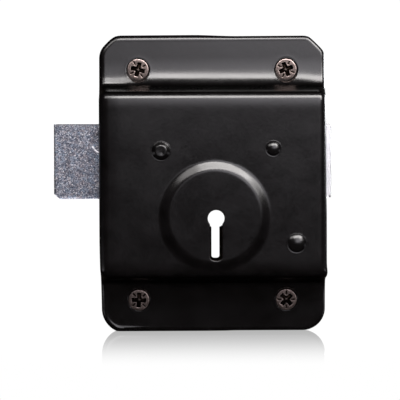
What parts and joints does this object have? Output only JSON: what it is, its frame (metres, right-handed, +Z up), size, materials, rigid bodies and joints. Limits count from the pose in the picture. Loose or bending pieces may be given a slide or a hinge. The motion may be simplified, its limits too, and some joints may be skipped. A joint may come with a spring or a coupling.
{
  "type": "rim lock",
  "caption": "Surface-mounted deadlock: a flat bar bolt slides through both ends of a pressed steel case with a turned rim, held by levers, with a keyhole right through.",
  "frame": {"origin": "key axis at the back face, the plane that lies on the door", "axes": "+Z up, +X towards the tail of the bolt, +Y into the door; the front of the lock faces -Y and the bolt is thrown towards -X"},
  "size_m": [0.0928, 0.0356, 0.1],
  "materials": {
    "case_black": "semi-gloss black stoved enamel on pressed steel",
    "rivet_black": "black enamelled steel rivet heads",
    "bolt_zinc": "bright zinc plate over rolled bar",
    "plate_zinc": "zinc plated sheet",
    "screw_bronze": "antique bronze plated steel screws",
    "lever_brass": "stamped brass",
    "spring_steel": "spring steel strip",
    "inner_steel": "plain turned and cut steel"
  },
  "bodies": {
    "case": {"case_cover": "case_black", "back_plate": "plate_zinc", "pillar_upper_left": "rivet_black", "pillar_upper_right": "rivet_black", "pillar_lower_right": "rivet_black", "pivot_washer_1": "inner_steel", "pivot_washer_2": "inner_steel", "pivot_washer_3": "inner_steel", "fixing_screw_upper_left": "screw_bronze", "fixing_screw_upper_right": "screw_bronze", "fixing_screw_lower_left": "screw_bronze", "fixing_screw_lower_right": "screw_bronze"},
    "bolt": {"bolt": "bolt_zinc", "bolt_stump": "inner_steel"},
    "lever_1": {"lever_1": "lever_brass", "lever_spring_1": "spring_steel"},
    "lever_2": {"lever_2": "lever_brass", "lever_spring_2": "spring_steel"},
    "lever_3": {"lever_3": "lever_brass", "lever_spring_3": "spring_steel"}
  },
  "joints": [
    {"name": "bolt_slide", "type": "slide", "parent": "case", "child": "bolt", "axis": [1, 0, 0], "range_m": [0, 0.015]},
    {"name": "lever_1_pivot", "type": "hinge", "parent": "case", "child": "lever_1", "pos_m": [0.01885, 0, 0.0228], "axis": [0, 1, 0], "range_deg": [-5.5, 2], "stiffness_Nm_per_rad": 0.02, "springref_deg": -17.19, "deforming": ["lever_spring_1"]},
    {"name": "lever_2_pivot", "type": "hinge", "parent": "case", "child": "lever_2", "pos_m": [0.01885, 0, 0.0228], "axis": [0, 1, 0], "range_deg": [-6.8, 2], "stiffness_Nm_per_rad": 0.02, "springref_deg": -17.19, "deforming": ["lever_spring_2"]},
    {"name": "lever_3_pivot", "type": "hinge", "parent": "case", "child": "lever_3", "pos_m": [0.01885, 0, 0.0228], "axis": [0, 1, 0], "range_deg": [-6.1, 2], "stiffness_Nm_per_rad": 0.02, "springref_deg": -17.19, "deforming": ["lever_spring_3"]}
  ]
}
